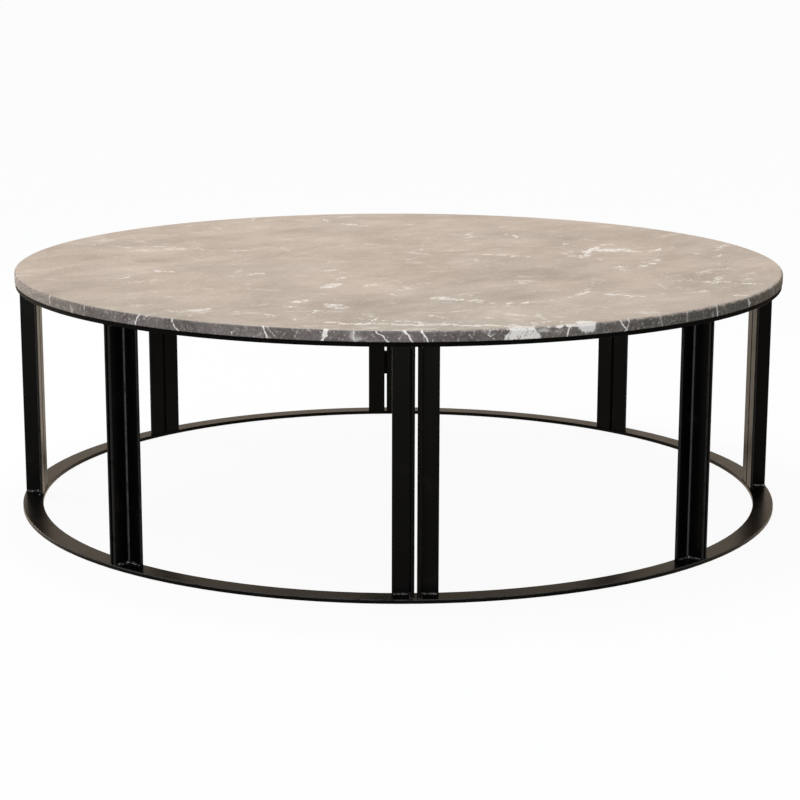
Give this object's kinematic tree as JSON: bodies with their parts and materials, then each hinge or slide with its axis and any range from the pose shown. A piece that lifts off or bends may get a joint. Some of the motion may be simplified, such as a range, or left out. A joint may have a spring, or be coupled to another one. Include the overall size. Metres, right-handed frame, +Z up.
{
  "type": "round cocktail table",
  "caption": "Low round cocktail table: marble disc resting on a black steel frame of two flat rings joined by legs of paired angle bars set back to back across a slit.",
  "frame": {"origin": "on the floor at the centre of the table", "axes": "+Z up, through the middle of the top; -Y to the front leg; +X to the right leg"},
  "size_m": [1.2198, 1.22, 0.3815],
  "materials": {
    "marble": "polished, veined",
    "black_steel": "satin",
    "soft_pad": "matte",
    "glide_plastic": "matte"
  },
  "bodies": {
    "root": {"marble_top": "marble", "top_ring": "black_steel", "foot_ring": "black_steel", "back_leg_spacer": "black_steel", "right_leg_left_angle": "black_steel", "right_leg_right_angle": "black_steel", "right_stone_pad": "soft_pad", "right_floor_glide": "glide_plastic", "back_right_leg_left_angle": "black_steel", "back_right_leg_right_angle": "black_steel", "back_right_stone_pad": "soft_pad", "back_right_floor_glide": "glide_plastic", "back_leg_left_angle": "black_steel", "back_leg_right_angle": "black_steel", "back_stone_pad": "soft_pad", "back_floor_glide": "glide_plastic", "back_left_leg_left_angle": "black_steel", "back_left_leg_right_angle": "black_steel", "back_left_stone_pad": "soft_pad", "back_left_floor_glide": "glide_plastic", "left_leg_left_angle": "black_steel", "left_leg_right_angle": "black_steel", "left_stone_pad": "soft_pad", "left_floor_glide": "glide_plastic", "front_left_leg_left_angle": "black_steel", "front_left_leg_right_angle": "black_steel", "front_left_stone_pad": "soft_pad", "front_left_floor_glide": "glide_plastic", "front_leg_left_angle": "black_steel", "front_leg_right_angle": "black_steel", "front_stone_pad": "soft_pad", "front_floor_glide": "glide_plastic", "front_right_leg_left_angle": "black_steel", "front_right_leg_right_angle": "black_steel", "front_right_stone_pad": "soft_pad", "front_right_floor_glide": "glide_plastic"}
  },
  "joints": []
}
